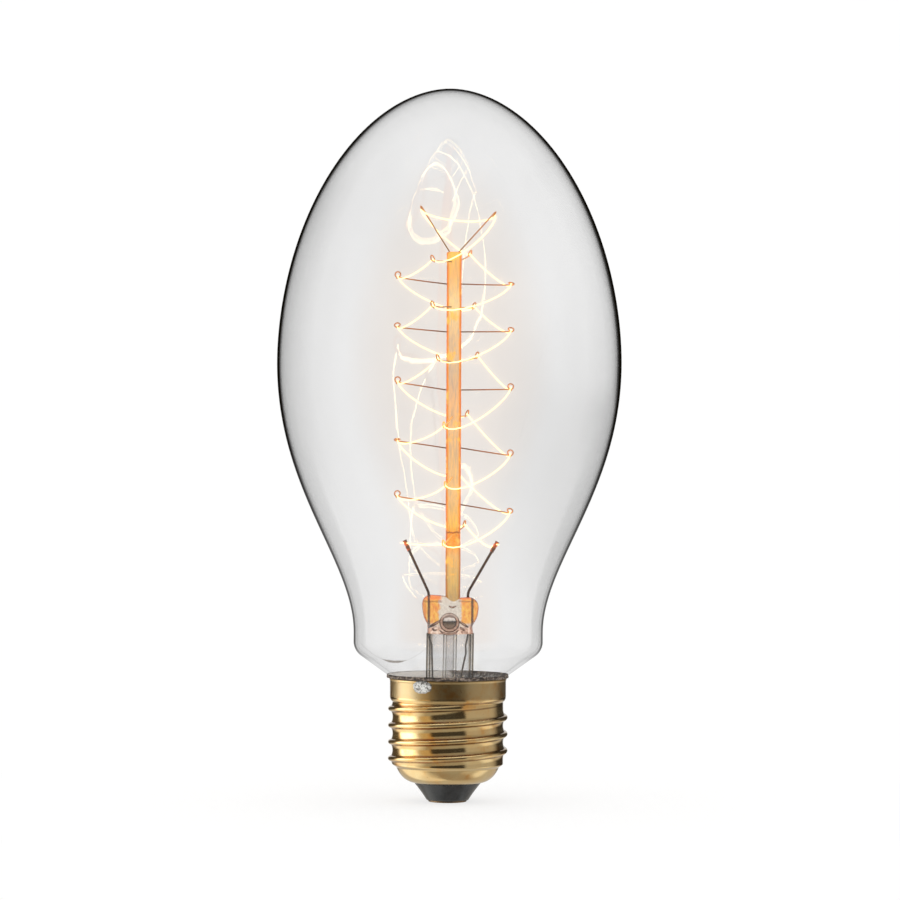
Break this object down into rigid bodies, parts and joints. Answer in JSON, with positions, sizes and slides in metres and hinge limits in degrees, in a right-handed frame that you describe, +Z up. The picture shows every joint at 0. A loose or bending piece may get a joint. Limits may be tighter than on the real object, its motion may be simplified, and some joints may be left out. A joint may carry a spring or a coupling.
{
  "type": "light bulb",
  "caption": "Clear oval filament bulb on a brass screw cap, with a glass stem, an amber rod and a glowing wire strung over fine hooks.",
  "frame": {"origin": "on the lamp's axis, at the underside of the centre contact", "axes": "+Z up the lamp's axis from the contact to the top of the glass; +X to the right and +Y away from the viewer in the picture; the solder lump on the collar faces 244 degrees, turning from +X towards +Y"},
  "size_m": [0.0754, 0.0754, 0.156],
  "materials": {
    "bulb_glass": "clear blown glass, smooth",
    "stem_glass": "clear tube glass, fire polished",
    "press_glass": "clear glass, pinched and fused, amber in the filament's light",
    "rod_glass": "clear glass cane, amber in the filament's light",
    "filament": "glowing warm white wire",
    "clamp_metal": "crimped wire end, heat tinted",
    "lead_wire": "dark drawn wire",
    "seal_wire": "copper-sheathed sealing wire",
    "outer_lead": "plain drawn wire",
    "hook_wire": "thin drawn wire, heat tinted",
    "cap_brass": "rolled sheet, polished with light tarnish",
    "black_glass": "opaque black glass, glossy",
    "contact_brass": "stamped and tinned",
    "solder": "dull grey soft solder",
    "cement": "baked basing cement, dark and grainy"
  },
  "bodies": {
    "root": {"glass_envelope": "bulb_glass", "stem_flare": "stem_glass", "exhaust_tube": "stem_glass", "stem_press": "press_glass", "support_rod": "rod_glass", "filament": "filament", "filament_clamp_left": "clamp_metal", "filament_clamp_right": "clamp_metal", "lead_wire_left": "lead_wire", "lead_wire_right": "lead_wire", "seal_wire_left": "seal_wire", "seal_wire_right": "seal_wire", "outer_lead_side": "outer_lead", "outer_lead_centre": "outer_lead", "cap_shell": "cap_brass", "cap_insulator": "black_glass", "contact_plate": "contact_brass", "contact_solder": "solder", "side_solder": "solder", "base_cement": "cement", "hook_01_right": "hook_wire", "hook_01_left": "hook_wire", "hook_02_back": "hook_wire", "hook_02_front": "hook_wire", "hook_03_right": "hook_wire", "hook_03_left": "hook_wire", "hook_04_back": "hook_wire", "hook_04_front": "hook_wire", "hook_05_right": "hook_wire", "hook_05_left": "hook_wire", "hook_06_back": "hook_wire", "hook_06_front": "hook_wire", "hook_07_right": "hook_wire", "hook_07_left": "hook_wire", "hook_08_back": "hook_wire", "hook_08_front": "hook_wire", "hook_09_right": "hook_wire", "hook_09_left": "hook_wire", "hook_10_back": "hook_wire", "hook_10_front": "hook_wire", "hook_11_right": "hook_wire", "hook_11_left": "hook_wire", "hook_12_back": "hook_wire", "hook_12_front": "hook_wire"}
  },
  "joints": []
}
